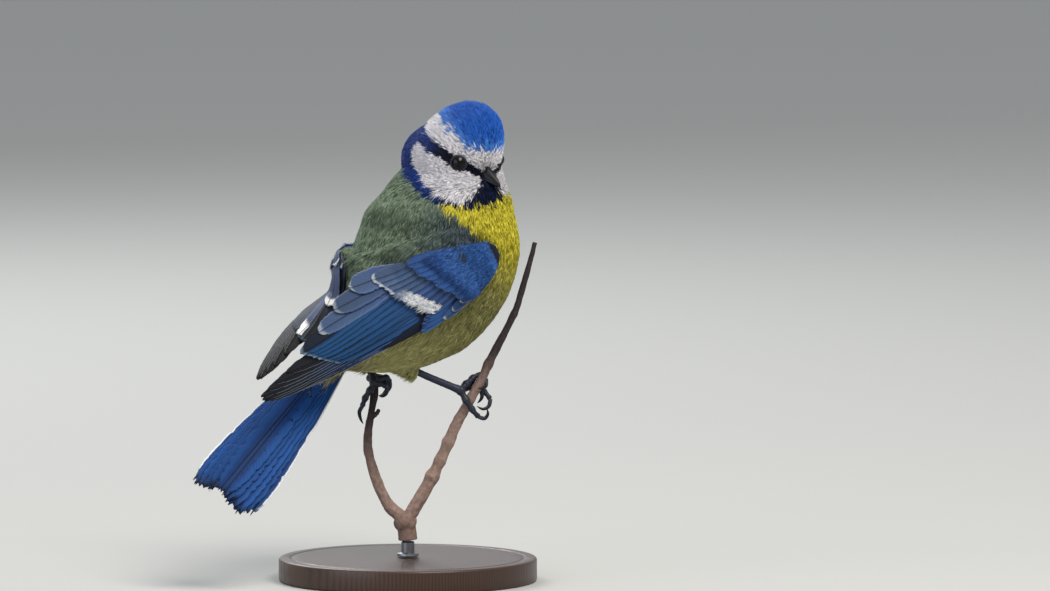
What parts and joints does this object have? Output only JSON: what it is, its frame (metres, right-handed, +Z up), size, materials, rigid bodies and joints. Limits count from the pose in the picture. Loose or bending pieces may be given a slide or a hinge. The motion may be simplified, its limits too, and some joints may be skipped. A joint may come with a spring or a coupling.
{
  "type": "blue tit",
  "caption": "Still, life-size model of a small perched songbird with blue, white and yellow plumage, gripping a forked twig on a round display stand.",
  "frame": {"origin": "centre of the stand's underside, on the floor", "axes": "+Z up, +X the way the bird's body faces, +Y the bird's left"},
  "size_m": [0.0858, 0.062, 0.1148],
  "materials": {
    "body_plumage": "soft grey-green back feathers shading to yellow on the breast and olive yellow on the belly",
    "collar_plumage": "soft dark blue feathers",
    "head_plumage": "soft white feathers with a blue crown and a black eye stripe and bib",
    "belly_plumage": "loose olive-yellow feathers",
    "wing_feathers": "blue feathers with a slight sheen, white tips on the large coverts",
    "tail_feathers": "mid-blue feathers with dark shafts",
    "bill": "dark slate horn with a dull shine",
    "claw": "dark slate horn",
    "eye": "wet, very dark brown",
    "leg_skin": "scaly slate-blue skin",
    "bark": "rough grey-brown bark",
    "stand_wood": "dark stained wood, satin lacquer",
    "stand_metal": "plain brushed metal"
  },
  "bodies": {
    "root": {"torso": "body_plumage", "neck": "collar_plumage", "head": "head_plumage", "bill_upper": "bill", "bill_lower": "bill", "eye_right": "eye", "eye_left": "eye", "wing_right": "wing_feathers", "wing_left": "wing_feathers", "tail": "tail_feathers", "thigh_right": "belly_plumage", "thigh_left": "belly_plumage", "tarsus_right": "leg_skin", "tarsus_left": "leg_skin", "foot_right": "leg_skin", "foot_left": "leg_skin", "claw_right_1": "claw", "claw_right_2": "claw", "claw_right_3": "claw", "claw_right_4": "claw", "claw_left_1": "claw", "claw_left_2": "claw", "claw_left_3": "claw", "claw_left_4": "claw", "perch_fork": "bark", "perch_branch_right": "bark", "perch_branch_left": "bark", "stand_rod": "stand_metal", "stand_base": "stand_wood"}
  },
  "joints": []
}
